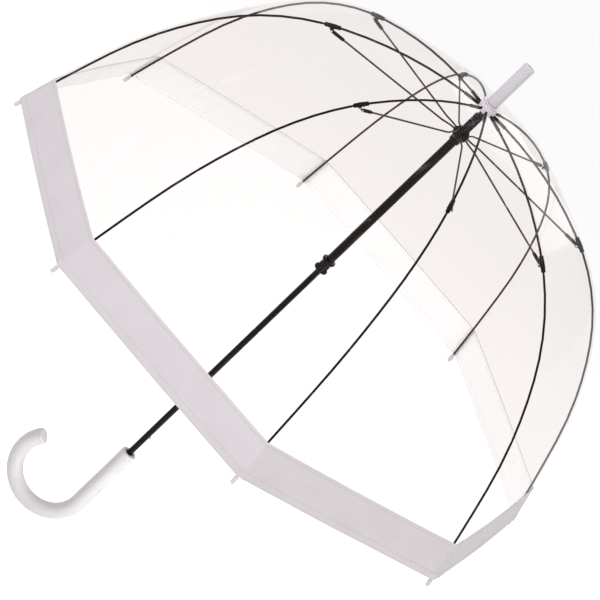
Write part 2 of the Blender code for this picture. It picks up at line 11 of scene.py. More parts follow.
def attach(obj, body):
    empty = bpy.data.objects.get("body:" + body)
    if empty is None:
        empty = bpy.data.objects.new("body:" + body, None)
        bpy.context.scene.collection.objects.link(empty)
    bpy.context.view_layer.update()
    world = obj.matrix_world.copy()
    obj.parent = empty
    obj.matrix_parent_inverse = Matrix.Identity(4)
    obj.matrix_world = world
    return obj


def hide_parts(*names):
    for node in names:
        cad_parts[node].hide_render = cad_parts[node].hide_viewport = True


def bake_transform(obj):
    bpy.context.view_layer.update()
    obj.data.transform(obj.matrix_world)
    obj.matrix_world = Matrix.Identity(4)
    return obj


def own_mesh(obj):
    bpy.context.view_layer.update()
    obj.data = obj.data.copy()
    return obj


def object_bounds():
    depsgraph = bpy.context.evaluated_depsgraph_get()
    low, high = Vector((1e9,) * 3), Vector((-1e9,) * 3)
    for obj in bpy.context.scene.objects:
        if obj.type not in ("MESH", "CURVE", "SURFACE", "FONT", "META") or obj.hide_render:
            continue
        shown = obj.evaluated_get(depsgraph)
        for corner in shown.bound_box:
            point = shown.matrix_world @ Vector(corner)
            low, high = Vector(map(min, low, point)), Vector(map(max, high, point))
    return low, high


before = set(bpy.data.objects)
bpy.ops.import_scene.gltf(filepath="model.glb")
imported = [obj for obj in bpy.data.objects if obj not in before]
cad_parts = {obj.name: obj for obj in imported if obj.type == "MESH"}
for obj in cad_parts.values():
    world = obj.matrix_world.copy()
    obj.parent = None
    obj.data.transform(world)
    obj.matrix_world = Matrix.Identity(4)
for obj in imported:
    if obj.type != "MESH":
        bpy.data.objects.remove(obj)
cad_low, cad_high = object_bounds()
X, Y, Z = Vector((1, 0, 0)), Vector((0, 1, 0)), Vector((0, 0, 1))

# Camera, a long lens from 4 m off, 22 degrees above level and rolled, so that the shaft runs up
# to the right. Nothing here is part of the umbrella.
camera_data = bpy.data.cameras.new("camera")
camera_data.lens = 180
camera_data.sensor_width = 36
camera_data.clip_end = 100
camera = bpy.data.objects.new("camera", camera_data)
looks_along = Vector((0.0214, -0.9255, -0.3781)).normalized()
head_up = Vector((0.7275, -0.2450, 0.6409))
to_right = looks_along.cross(head_up).normalized()
head_up = to_right.cross(looks_along)
turned_so = Matrix((to_right, head_up, -looks_along)).transposed().to_4x4()
camera.matrix_world = Matrix.Translation((-0.0936, 3.5920, 1.8507)) @ turned_so
bpy.context.scene.collection.objects.link(camera)
bpy.context.scene.camera = camera
bpy.context.scene.view_settings.view_transform = "Standard"
bpy.context.scene.cycles.transparent_max_bounces = 48  # the clear film lies many layers deep when furled


# Studio: a white surround, a pale floor under the crook, and soft lamps. The low lamp on the
# side away from the crook whitens that side of the handle and shaft.
def node(tree, kind, settings=None, **inputs):
    """A shader node. An input named in1 is input number 1, and an output socket given as a value is linked."""
    made = tree.nodes.new("ShaderNode" + kind)
    for key, value in (settings or {}).items():
        setattr(made, key, value)
    for key, value in inputs.items():
        numbered = key[:2] == "in" and key[2:].isdigit()
        socket = made.inputs[int(key[2:]) if numbered else key.replace("_", " ")]
        if isinstance(value, bpy.types.NodeSocket):
            tree.links.new(value, socket)
        else:
            socket.default_value = value
    return made


SURROUND_LIGHT, SHEEN_LIGHT = 0.62, 0.70
world = bpy.data.worlds.new("studio")
bpy.context.scene.world = world
world.use_nodes = True
tree = world.node_tree
tree.nodes.clear()
soft = node(tree, "Background", Color=(0.99, 0.985, 1.0, 1), Strength=SURROUND_LIGHT)
gloss = node(tree, "Background", Color=(1, 0.99, 0.98, 1), Strength=SHEEN_LIGHT)
seen = node(tree, "Background", Color=(1, 1, 1, 1), Strength=1.02)
ray = node(tree, "LightPath")
reflected = node(tree, "MixShader", in0=ray.outputs["Is Glossy Ray"], in1=soft.outputs[0], in2=gloss.outputs[0])
mixed = node(tree, "MixShader", in0=ray.outputs["Is Camera Ray"], in1=reflected.outputs[0], in2=seen.outputs[0])
node(tree, "OutputWorld", in0=mixed.outputs[0])


def lamp(name, place, target, size, watts, spread, colour=(1, 1, 1)):
    data = bpy.data.lights.new(name, "AREA")
    data.shape, data.size, data.energy, data.color = "DISK", size, watts, colour
    data.spread = radians(spread)
    made = bpy.data.objects.new(name, data)
    made.visible_camera = False
    aim = (Vector(target) - Vector(place)).to_track_quat("-Z", "Y")
    made.matrix_world = Matrix.Translation(place) @ aim.to_matrix().to_4x4()
    bpy.context.scene.collection.objects.link(made)


lamp("lamp_low", (-0.95, 0.60, -0.06), (0.03, 0, -0.045), 0.35, 0.46, 28, (0.97, 1.0, 0.955))
lamp("lamp_high", (1.5, 1.6, 2.2), (0.0, 0, 0.50), 1.3, 2.4, 40, (0.98, 0.98, 1.0))
lamp("lamp_fill", (-1.7, 1.9, 0.7), (0, 0, 0.25), 1.2, 4.8, 110, (1.0, 0.985, 0.97))
lamp("lamp_back", (-0.3, -2.2, 1.6), (0, 0, 0.4), 1.4, 4, 120)

floor_mesh = bpy.data.meshes.new("floor")
reach = 40.0
level = cad_low.z - 0.0008
floor_corners = [(x * reach, y * reach, level) for x, y in ((-1, -1), (1, -1), (1, 1), (-1, 1))]
floor_mesh.from_pydata(floor_corners, [], [(0, 1, 2, 3)])
floor = bpy.data.objects.new("floor", floor_mesh)
bpy.context.scene.collection.objects.link(floor)
floor_paper = bpy.data.materials.new("floor_paper")
floor_paper.use_nodes = True
tree = floor_paper.node_tree
tree.nodes.clear()
speckle = node(tree, "TexNoise", Vector=node(tree, "TexCoord").outputs["Object"], Scale=3.0, Detail=2.0)
tone = node(tree, "MapRange", Value=speckle.outputs[0], To_Min=0.02, To_Max=0.026)
paper = node(tree, "BsdfPrincipled", Base_Color=tone.outputs[0], Roughness=0.9)
paper.inputs["Specular IOR Level"].default_value = 0.1
paper.inputs["Emission Color"].default_value = (1, 1, 1, 1)
paper.inputs["Emission Strength"].default_value = 0.975
lit = node(tree, "BsdfPrincipled", Base_Color=(0.75, 0.75, 0.75, 1), Roughness=0.9)
lit.inputs["Specular IOR Level"].default_value = 0.0
lit.inputs["Emission Color"].default_value = (1, 1, 1, 1)
lit.inputs["Emission Strength"].default_value = 0.50
below = node(tree, "BsdfTransparent")
ray = node(tree, "LightPath")
direct = node(tree, "MixShader", in0=ray.outputs["Is Camera Ray"], in1=paper.outputs[0], in2=lit.outputs[0])
side_seen = node(tree, "NewGeometry").outputs["Backfacing"]
both = node(tree, "MixShader", in0=side_seen, in1=direct.outputs[0], in2=below.outputs[0])
node(tree, "OutputMaterial", in0=both.outputs[0])
floor_mesh.materials.append(floor_paper)


# Shaft: a drawn steel tube in black stoving lacquer, crimped once to stop the runner, its foot
# cemented into the handle. The frame's own node stays, with its catch slots.
def new_group(name, inputs, outputs):
    """A shader node group with float, colour or vector sockets: (name, kind, value) and (name, kind)."""
    group = bpy.data.node_groups.new(name, "ShaderNodeTree")
    for label, kind, value in inputs:
        made = group.interface.new_socket(label, in_out="INPUT", socket_type="NodeSocket" + kind)
        made.default_value = value
    for label, kind in outputs:
        group.interface.new_socket(label, in_out="OUTPUT", socket_type="NodeSocket" + kind)
    return group, group.nodes.new("NodeGroupInput"), group.nodes.new("NodeGroupOutput")


# Mottle: slow and fine unevenness of a moulded or lacquered skin, stretched along one way. Sharp
# edges can be rubbed grey, and the side that faces down can take a painted brown reflection.
mottle_and_painted_reflection, given, put = new_group(
    "mottle_and_painted_reflection",
    [
        ("Colour", "Color", (0.5, 0.5, 0.5, 1)),
        ("Second Colour", "Color", (0.4, 0.4, 0.4, 1)),
        ("Scale", "Float", 20.0),
        ("Stretch", "Vector", (1, 1, 1)),
        ("Roughness Low", "Float", 0.3),
        ("Roughness High", "Float", 0.4),
        ("Edge Wear", "Float", 0.0),
        ("Under Colour", "Color", (0.05, 0.02, 0.015, 1)),
        ("Under Share", "Float", 0.0),
    ],
    [("Colour", "Color"), ("Roughness", "Float"), ("Height", "Float")],
)
where = node(mottle_and_painted_reflection, "TexCoord")
laid = node(
    mottle_and_painted_reflection, "VectorMath", {"operation": "MULTIPLY"}, in0=where.outputs["Object"], in1=given.outputs["Stretch"]
)
slow = node(mottle_and_painted_reflection, "TexNoise", Vector=laid.outputs[0], Scale=given.outputs["Scale"], Detail=4.0, Roughness=0.55)
finer = node(mottle_and_painted_reflection, "Math", {"operation": "MULTIPLY"}, in0=given.outputs["Scale"], in1=14.0)
fine = node(mottle_and_painted_reflection, "TexNoise", Vector=laid.outputs[0], Scale=finer.outputs[0], Detail=2.0, Roughness=0.5)
spread = node(mottle_and_painted_reflection, "MapRange", Value=slow.outputs[0], From_Min=0.32, From_Max=0.68)
pointed = node(mottle_and_painted_reflection, "NewGeometry").outputs["Pointiness"]
edge = node(mottle_and_painted_reflection, "MapRange", Value=pointed, From_Min=0.64, From_Max=0.82)
worn = node(mottle_and_painted_reflection, "Math", {"operation": "MULTIPLY"}, in0=edge.outputs[0], in1=given.outputs["Edge Wear"])
tinted = node(mottle_and_painted_reflection, "Mix", {"data_type": "RGBA"}, Factor=spread.outputs[0])
mottle_and_painted_reflection.links.new(given.outputs["Colour"], tinted.inputs[6])
mottle_and_painted_reflection.links.new(given.outputs["Second Colour"], tinted.inputs[7])
rubbed = node(mottle_and_painted_reflection, "MixRGB", Fac=worn.outputs[0], Color1=tinted.outputs[2], Color2=(0.30, 0.28, 0.27, 1))
# Faces that turn down are mixed towards the reflection colour: a painted reflection.
way_up = node(mottle_and_painted_reflection, "SeparateXYZ", Vector=where.outputs["Normal"])
beneath = node(mottle_and_painted_reflection, "MapRange", Value=way_up.outputs[2], From_Min=0.0, From_Max=-0.22)
under = node(mottle_and_painted_reflection, "Math", {"operation": "MULTIPLY"}, in0=beneath.outputs[0], in1=given.outputs["Under Share"])
with_painted_reflection = node(
    mottle_and_painted_reflection, "MixRGB", Fac=under.outputs[0], Color1=rubbed.outputs[0], Color2=given.outputs["Under Colour"]
)
half_fine = node(mottle_and_painted_reflection, "Math", {"operation": "MULTIPLY_ADD"}, in0=fine.outputs[0], in1=0.5, in2=spread.outputs[0])
rough = node(mottle_and_painted_reflection, "MapRange", Value=half_fine.outputs[0], From_Max=1.5)
mottle_and_painted_reflection.links.new(given.outputs["Roughness Low"], rough.inputs["To Min"])
mottle_and_painted_reflection.links.new(given.outputs["Roughness High"], rough.inputs["To Max"])
mottle_and_painted_reflection.links.new(with_painted_reflection.outputs[0], put.inputs["Colour"])
mottle_and_painted_reflection.links.new(rough.outputs[0], put.inputs["Roughness"])
mottle_and_painted_reflection.links.new(fine.outputs[0], put.inputs["Height"])


def finish(name, bump=0.0, depth=0.0001, shader=None, **values):
    """A material on the Principled shader with the mottle and painted reflection group behind its colour, roughness
    and bump.
    """
    made = bpy.data.materials.new(name)
    made.use_nodes = True
    tree = made.node_tree
    base = tree.nodes["Principled BSDF"]
    group = tree.nodes.new("ShaderNodeGroup")
    group.node_tree = mottle_and_painted_reflection
    for key, value in values.items():
        group.inputs[key.replace("_", " ")].default_value = value
    tree.links.new(group.outputs["Colour"], base.inputs["Base Color"])
    tree.links.new(group.outputs["Roughness"], base.inputs["Roughness"])
    if bump:
        raised = node(tree, "Bump", Strength=bump, Distance=depth, Height=group.outputs["Height"])
        tree.links.new(raised.outputs[0], base.inputs["Normal"])
    for key, value in (shader or {}).items():
        base.inputs[key].default_value = value
    return made


black_lacquer = finish(
    "black_lacquer",
    bump=0.02,
    shader={"Specular IOR Level": 0.14},
    Colour=(0.003, 0.0012, 0.001, 1),
    Second_Colour=(0.007, 0.0035, 0.003, 1),
    Scale=30.0,
    Stretch=(1, 1, 0.12),
    Roughness_Low=0.24,
    Roughness_High=0.38,
    Edge_Wear=0.25,
)


def keep_node(name, material, crease=32):
    """Leaves a frame node's shape as it is, smooths its shading up to sharp edges, and finishes it."""
    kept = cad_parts[name]
    for unwanted in ("custom_normal", "sharp_edge", "sharp_face"):
        if unwanted in kept.data.attributes:
            kept.data.attributes.remove(kept.data.attributes[unwanted])
    kept.data.shade_smooth()
    kept.modifiers.new("weld", "WELD").merge_threshold = 0.00001
    split = kept.modifiers.new("crease", "EDGE_SPLIT")
    split.split_angle = radians(crease)
    split.use_edge_sharp = False
    for each in kept.material_slots:
        each.material = material


keep_node("shaft_tube", black_lacquer)

# Spring catches: bent leaves of blued spring steel inside the shaft. A nose of each stands out
# through its slot, the lower one by the handle and the upper one under the open runner.
sprung = finish(
    "spring_steel",
    bump=0.2,
    shader={"Metallic": 1.0},
    Colour=(0.62, 0.60, 0.58, 1),
    Second_Colour=(0.46, 0.44, 0.43, 1),
    Scale=90.0,
    Stretch=(1, 6, 1),
    Roughness_Low=0.22,
    Roughness_High=0.42,
)
keep_node("upper_catch", sprung)
keep_node("lower_catch", sprung)


# Handle: a crook in white ABS, moulded round a core and bored for the shaft. Its mouth has a soft
# rounded lip and a shallow recess, which shows as a dark ring round the shaft.
def circle(centre, across, up, wide, high, sides, flat=0.0):
    """Points of an ellipse round centre. A flat above 0 squares it off a little."""
    points = []
    for k in range(sides):
        a = 2 * pi * (k + 0.5) / sides
        swell = 1 + flat * sin(2 * a) ** 2
        points.append(centre + across * (wide * cos(a) * swell) + up * (high * sin(a) * swell))
    return points


def loft(name, rings, closed=False, crease=35):
    """A mesh skinned over rings, capped at both ends or closed round to the first ring."""
    shape = bmesh.new()
    rows = [[shape.verts.new(point) for point in ring] for ring in rings]
    joined = list(zip(rows, rows[1:])) + ([(rows[-1], rows[0])] if closed else [])
    for near, far in joined:
        for k in range(len(near)):
            after = (k + 1) % len(near)
            shape.faces.new((near[k], near[after], far[after], far[k]))
    if not closed:
        shape.faces.new(rows[0])
        shape.faces.new(rows[-1])
    bmesh.ops.recalc_face_normals(shape, faces=shape.faces)
    mesh = bpy.data.meshes.new(name)
    shape.to_mesh(mesh)
    shape.free()
    mesh.shade_smooth()
    mesh.set_sharp_from_angle(angle=radians(crease))
    return mesh


def turned(name, profile, sides, closed=False, crease=35):
    """A turned shape from (radius, height) points."""
    return loft(name, [circle(Z * z, X, Y, r, r, sides) for r, z in profile], closed, crease)


def fillet(corner, before, after, radius, steps=4):
    """Points that round off a corner of a profile, between the straight runs to before and after."""
    corner, before, after = Vector(corner), Vector(before), Vector(after)
    first = corner + (before - corner).normalized() * radius
    last = corner + (after - corner).normalized() * radius
    made = []
    for k in range(steps + 1):
        t = k / steps
        made.append(tuple(first * (1 - t) ** 2 + corner * (2 * t * (1 - t)) + last * t**2))
    return made


def place(name, mesh, material, body, slot, *nodes):
    """A piece at rest in the frame's axes, riding on a body and standing for nodes."""
    made = bpy.data.objects.new(name, mesh)
    if not mesh.materials:
        mesh.materials.append(material)
    bpy.context.scene.collection.objects.link(made)
    if body:
        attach(made, body)
    if nodes:
        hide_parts(*nodes)
    return made


crook_abs = finish(
    "crook_abs",
    bump=0.015,
    depth=0.00008,
    shader={"Specular IOR Level": 0.30, "Coat Weight": 0.05, "Coat Roughness": 0.30},
    Colour=(0.550, 0.522, 0.545, 1),
    Second_Colour=(0.525, 0.495, 0.520, 1),
    Scale=14.0,
    Roughness_Low=0.42,
    Roughness_High=0.54,
)
HANDLE_R = 0.011
BORE_R = 0.00445
LIP_R = 0.0064
STRAIGHT = 0.107
CROOK_R, CROOK_TURN = 0.053, 212
mouth = STRAIGHT / 2
SIDES = 48
rings = []
for r, z in [
    (BORE_R, -0.0075),
    (BORE_R, mouth - 0.0030),
    (0.0058, mouth - 0.0030),
    (0.0063, mouth - 0.0027),
    *fillet((LIP_R, mouth), (LIP_R, mouth - 0.003), (HANDLE_R, mouth), 0.0006, 3),
    *fillet((HANDLE_R, mouth), (LIP_R, mouth), (HANDLE_R, 0), 0.0020, 5),
    (HANDLE_R * 1.012, mouth - 0.0045),
    (HANDLE_R, mouth - 0.0075),
    (HANDLE_R * 0.985, mouth - 0.020),
    (HANDLE_R * 0.985, 0.010),
    (HANDLE_R, -mouth * 0.6),
]:
    rings.append(circle(Z * z, X, Y, r, r, SIDES))
bend = Vector((CROOK_R, 0, -mouth))
BEND_STEPS = 52
for k in range(BEND_STEPS + 1):
    a = radians(CROOK_TURN) * k / BEND_STEPS
    arm = Vector((-cos(a), 0, -sin(a)))
    rings.append(circle(bend + arm * CROOK_R, -arm, Y, HANDLE_R, HANDLE_R, SIDES))
tail = bend + arm * CROOK_R
onward = Vector((sin(a), 0, -cos(a)))
for r, d in fillet((HANDLE_R, 0), (HANDLE_R, -0.02), (0, 0), 0.0003, 2):
    rings.append(circle(tail + onward * d, -arm, Y, r, r, SIDES))
place("handle_crook", loft("handle_crook", rings), crook_abs, "shaft", "white_plastic", "handle")

# Handle cap: a separate white plug with a domed face, pushed into the crook's open end and glued.
# A hairline shows where it meets the crook.
cap_profile = [
    *fillet((HANDLE_R, 0.0003), (0, 0.0003), (HANDLE_R, 0.004), 0.0002, 2),
    *fillet((HANDLE_R, 0.0041), (HANDLE_R, 0), (0, 0.0043), 0.0034, 7),
    (HANDLE_R * 0.35, 0.00425),
    (HANDLE_R * 0.1, 0.0043),
]
cap = place("crook_cap", turned("crook_cap", cap_profile, SIDES), crook_abs, None, "white_plastic", "handle_cap")
cap.matrix_world = Matrix.Translation(tail) @ Matrix.Rotation(radians(180 - CROOK_TURN), 4, "Y")
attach(cap, "shaft")

# Crown: a white nylon collar pressed on the shaft. Eight slots in it hold the rib heads, and the
# frame's own node stays for them.
white_nylon = finish(
    "white_nylon",
    bump=0.04,
    shader={"Specular IOR Level": 0.45, "Coat Weight": 0.1},
    Colour=(0.74, 0.69, 0.75, 1),
    Second_Colour=(0.69, 0.64, 0.70, 1),
    Scale=60.0,
    Roughness_Low=0.30,
    Roughness_High=0.45,
)
keep_node("crown", white_nylon)

# Ribs: eight flexible rods in black, each with a crimped sleeve for a head that hinges in the crown.
# The frame has each as three stiff lengths, and a bead fills the bend between two of them.
rib_black = finish(
    "rib_black",
    bump=0.015,
    shader={"Specular IOR Level": 0.12},
    Colour=(0.003, 0.0015, 0.0015, 1),
    Second_Colour=(0.006, 0.003, 0.0025, 1),
    # The brown on the downward side of the ribs is a painted reflection.
    Under_Colour=(0.085, 0.034, 0.024, 1),
    Under_Share=0.8,
    Scale=45.0,
    Roughness_Low=0.28,
    Roughness_High=0.45,
    Edge_Wear=0.2,
)
RIBS = 8
FIRST_RIB = 16.0
RIB_R = 0.0015
PIVOT = (0.0095, 0.74175)  # out from the axis, and up
CLIP_AT = 0.2115
ELBOW, LOWER_ELBOW = 0.224, 0.4354
RIB_LENGTH = 0.6474
SLOPES = (2.0, 26.2, 54.3, 71.1, 74.6)
third = (RIB_LENGTH - CLIP_AT) / 3
stations = (0, CLIP_AT, CLIP_AT + third, CLIP_AT + 2 * third, RIB_LENGTH)
run_s = np.linspace(0, RIB_LENGTH, 2590)  # quarter-millimetre steps, run_s[1] long
run_slope = np.radians(np.interp((run_s[1:] + run_s[:-1]) / 2, stations, SLOPES))
run_out = PIVOT[0] + np.concatenate([[0], np.cumsum(np.cos(run_slope) * run_s[1])])
run_up = PIVOT[1] - np.concatenate([[0], np.cumsum(np.sin(run_slope) * run_s[1])])


def slope_at(s):
    """Radians below level at arc length s along a rib."""
    return np.radians(np.interp(s, stations, SLOPES))


def beside_rib(s, lift):
    """How far out and how high a point lies that is lift outside the rib's centre line."""
    slope = slope_at(s)
    out, up = np.interp(s, run_s, run_out), np.interp(s, run_s, run_up)
    return out + lift * np.sin(slope), up + lift * np.cos(slope)


def rib_turn(rib):
    return radians(FIRST_RIB + 360 * (rib - 1) / RIBS)


def on_rib(rib, s, lift=0.0, tilt=None):
    """Places something made along +X, with +Z outward, at arc length s of a rib."""
    out, up = beside_rib(s, lift)
    tilt = slope_at(s) if tilt is None else tilt
    turn = Matrix.Rotation(rib_turn(rib), 4, "Z") @ Matrix.Translation((float(out), 0, float(up)))
    return turn @ Matrix.Rotation(float(tilt), 4, "Y")


def set_on(name, mesh, matrix, material, body, slot, *nodes):
    made = place(name, mesh, material, None, slot, *nodes)
    made.matrix_world = matrix
    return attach(made, body)


def along(name, profile, sides, closed=False, crease=35):
    """A turned shape along +X from (radius, distance) points."""
    return loft(name, [circle(X * d, Y, Z, r, r, sides) for r, d in profile], closed, crease)


bead_mesh = along("rib_bead", [(RIB_R * cos(a), RIB_R * sin(a)) for a in np.radians(range(-75, 76, 25))], 12)
crimp_profile = [(0.00195, 0), (0.00232, 0.0003), (0.00232, 0.0012), (0.00195, 0.0016)]
crimp_mesh = along("head_crimp", [(0.0016, 0.0001), *crimp_profile, (0.0016, 0.0015)], 16)
for rib in range(1, RIBS + 1):
    for part in ("upper", "middle", "lower"):
        keep_node(f"rib_{part}_{rib}", rib_black, crease=50)
    set_on(f"rib_bead_{rib}", bead_mesh, on_rib(rib, ELBOW), rib_black, f"rib_middle_{rib}", "rib_paint")
    set_on(f"rib_lower_bead_{rib}", bead_mesh, on_rib(rib, LOWER_ELBOW), rib_black, f"rib_lower_{rib}", "rib_paint")
    for k, at in enumerate((0.0085, 0.0225)):
        set_on(f"head_crimp_{rib}_{k + 1}", crimp_mesh, on_rib(rib, at), rib_black, f"rib_upper_{rib}", "rib_paint")

# Rib clips: black nylon sleeves moulded on the ribs, each with an ear for the stretcher. A plated
# rivet goes through the ear and the stretcher's eye beside it.
black_nylon = finish(
    "black_nylon",
    bump=0.015,
    shader={"Specular IOR Level": 0.15},
    Colour=(0.003, 0.0012, 0.001, 1),
    Second_Colour=(0.008, 0.0035, 0.003, 1),
    Scale=40.0,
    Roughness_Low=0.22,
    Roughness_High=0.36,
    Edge_Wear=0.2,
)
CLIP_R, CLIP_BORE_R, CLIP_LENGTH = 0.0028, 0.0018, 0.021
EAR_DROP, EAR_R, EAR_HALF = 0.0045, 0.0026, 0.0008
half = CLIP_LENGTH / 2
clip_profile = [
    (CLIP_BORE_R, -half),
    *fillet((CLIP_R, -half), (CLIP_BORE_R, -half), (CLIP_R, half), 0.0006, 3),
    (CLIP_R, -half * 0.55),
    (CLIP_R * 1.1, -half * 0.45),
    (CLIP_R * 1.1, half * 0.45),
    (CLIP_R, half * 0.55),
    *fillet((CLIP_R, half), (CLIP_R, -half), (CLIP_BORE_R, half), 0.0006, 3),
    (CLIP_BORE_R, half),
]
clip_mesh = along("clip_sleeve", clip_profile, 20, closed=True)
ear_outline = [(-EAR_R * 1.25, -0.0018), (-EAR_R, -EAR_DROP)]
ear_outline += [(-EAR_R * cos(a), -EAR_DROP - EAR_R * 0.8 * sin(a)) for a in np.radians(np.arange(20, 180, 20))]
ear_outline += [(EAR_R, -EAR_DROP), (EAR_R * 1.25, -0.0018)]
ear_mesh = loft(
    "clip_ear",
    [
        [Vector((x * shrink, y, z if z > -0.002 else -EAR_DROP + (z + EAR_DROP) * shrink)) for x, z in ear_outline]
        for y, shrink in ((-EAR_HALF, 0.9), (-EAR_HALF * 0.7, 1), (EAR_HALF * 0.7, 1), (EAR_HALF, 0.9))
    ],
)
rivet_profile = [(0.0004, -0.0019), (0.0013, -0.0017), (0.0016, -0.0011)]
rivet_profile += [(0.0016, -0.0008), (0.0008, -0.0008)]
rivet_profile += [(0.0008, 0.0063), (0.0015, 0.0063), (0.0015, 0.0066), (0.0012, 0.0071), (0.0004, 0.0073)]
rivet_mesh = loft("clip_rivet", [circle(Y * d - Z * EAR_DROP, X, Z, r, r, 14) for r, d in rivet_profile])
for rib in range(1, RIBS + 1):
    here = on_rib(rib, CLIP_AT)
    body = f"rib_upper_{rib}"
    set_on(f"clip_sleeve_{rib}", clip_mesh, here, black_nylon, body, "black_plastic", f"rib_clip_{rib}")
    set_on(f"clip_ear_{rib}", ear_mesh, here, black_nylon, body, "black_plastic", f"rib_clip_{rib}")
    set_on(f"clip_rivet_{rib}", rivet_mesh, here, sprung, body, "spring_steel", f"rib_clip_{rib}")

# Rib tips: small white acetal caps pressed on the rods' ends, with a collar that the canopy's
# corner is tied behind and a rounded nose.
white_acetal = finish(
    "white_acetal",
    bump=0.08,
    shader={"Specular IOR Level": 0.45},
    Colour=(0.66, 0.62, 0.635, 1),
    Second_Colour=(0.60, 0.56, 0.575, 1),
    Scale=50.0,
    Roughness_Low=0.34,
    Roughness_High=0.46,
)
TIP_R, TIP_LENGTH = 0.0027, 0.015
tip_profile = [
    (0.0018, 0.0),
    *fillet((TIP_R * 0.92, 0.0), (0.0018, 0), (TIP_R * 0.92, 0.004), 0.0005, 3),
    (TIP_R * 0.92, 0.0030),
    (TIP_R * 0.78, 0.0036),
    (TIP_R * 0.78, 0.0046),
    (TIP_R, 0.0054),
    (TIP_R, TIP_LENGTH - 0.0040),
    *[(TIP_R * cos(a), TIP_LENGTH - 0.0027 + TIP_R * sin(a)) for a in np.radians([10, 28, 46, 62, 76])],
]
tip_mesh = along("tip_cap", tip_profile, 20)
for rib in range(1, RIBS + 1):
    tip_start = on_rib(rib, RIB_LENGTH - TIP_LENGTH, tilt=slope_at(RIB_LENGTH - TIP_LENGTH / 2))
    set_on(f"tip_cap_{rib}", tip_mesh, tip_start, white_acetal, f"rib_lower_{rib}", "white_plastic", f"rib_tip_{rib}")

# Stretchers: thinner wires in brown-black paint, flattened to an eye at the hub and sleeved where
# the clip's rivet passes through. The frame's own nodes stay, and a nylon boot slips over each sleeve.
stretcher_black = finish(
    "stretcher_black",
    bump=0.015,
    shader={"Specular IOR Level": 0.14},
    Colour=(0.040, 0.016, 0.012, 1),
    Second_Colour=(0.062, 0.025, 0.018, 1),
    # The brown on the downward side of the stretchers is a painted reflection.
    Under_Colour=(0.085, 0.034, 0.024, 1),
    Under_Share=0.6,
    Scale=45.0,
    Roughness_Low=0.30,
    Roughness_High=0.48,
    Edge_Wear=0.2,
)
HUB_OUT, HUB_UP = 0.0085, 0.6966
BESIDE_RIB = 0.0045
BOOT_R, BOOT_BORE_R = 0.0023, 0.0013
pin_out, pin_up = (float(v) for v in beside_rib(CLIP_AT, -EAR_DROP))
stretcher_tilt = atan2(HUB_UP - pin_up, pin_out - HUB_OUT)
stretcher_reach = hypot(HUB_UP - pin_up, pin_out - HUB_OUT)
boot_profile = [
    (BOOT_BORE_R, -0.0200),
    *fillet((0.0019, -0.0200), (BOOT_BORE_R, -0.02), (0.0022, -0.0175), 0.0003, 2),
    *fillet((BOOT_R, -0.0170), (0.0019, -0.0200), (BOOT_R, -0.01), 0.0008, 3),
    (BOOT_R, -0.0035),
    *fillet((0.0021, -0.0016), (BOOT_R, -0.0035), (BOOT_BORE_R, -0.0016), 0.0005, 3),
    (BOOT_BORE_R, -0.0016),
]
boot_mesh = along("stretcher_boot", boot_profile, 16, closed=True)
for rib in range(1, RIBS + 1):
    keep_node(f"stretcher_{rib}", stretcher_black, crease=50)
    hub_end = Matrix.Rotation(rib_turn(rib), 4, "Z") @ Matrix.Translation((HUB_OUT, 0, HUB_UP))
    pin_end = hub_end @ Matrix.Rotation(stretcher_tilt, 4, "Y")
    pin_end @= Matrix.Translation((stretcher_reach, BESIDE_RIB, 0))
    set_on(f"stretcher_boot_{rib}", boot_mesh, pin_end, black_nylon, f"stretcher_{rib}", "black_plastic")

# Runner: a slotted hub for the stretchers, a long tube and a spool-shaped thumb grip, all glossy
# black nylon. Hub and tube are the frame's own nodes, and the grip is turned with softer edges.
keep_node("runner_hub", black_nylon)
keep_node("runner_tube", black_nylon)
GRIP_TOP, GRIP_LENGTH = 0.4522, 0.020
GRIP_R, WAIST_R = 0.0097, 0.0072
SOCKET_R, SLIDE_R = 0.0062, 0.0047
grip_low = GRIP_TOP - GRIP_LENGTH
grip_profile = [
    (SOCKET_R, GRIP_TOP),
    *fillet((GRIP_R, GRIP_TOP), (SOCKET_R, GRIP_TOP), (GRIP_R, grip_low), 0.0016, 6),
    *fillet((GRIP_R, GRIP_TOP - 0.0042), (GRIP_R, GRIP_TOP), (WAIST_R, GRIP_TOP - 0.0050), 0.0012, 5),
    (WAIST_R + 0.0004, GRIP_TOP - 0.0060),
    (WAIST_R, GRIP_TOP - 0.0078),
]
for k in range(4):  # shallow rings that stop the thumb slipping
    middle = GRIP_TOP - 0.0085 - 0.0010 * k
    grip_profile += [(WAIST_R, middle + 0.0003), (WAIST_R + 0.00022, middle), (WAIST_R, middle - 0.0003)]
grip_profile += [
    (WAIST_R + 0.0004, grip_low + 0.0060),
    *fillet((GRIP_R, grip_low + 0.0042), (WAIST_R, grip_low + 0.0050), (GRIP_R, grip_low), 0.0012, 5),
    *fillet((GRIP_R, grip_low), (GRIP_R, GRIP_TOP), (SLIDE_R, grip_low), 0.0016, 6),
    (SLIDE_R, grip_low),
    (SLIDE_R, grip_low + 0.0117),
    (SOCKET_R, grip_low + 0.0117),
]
grip_mesh = turned("thumb_grip", grip_profile, 40, closed=True, crease=50)
place("thumb_grip", grip_mesh, black_nylon, "runner", "black_plastic", "runner_grip")

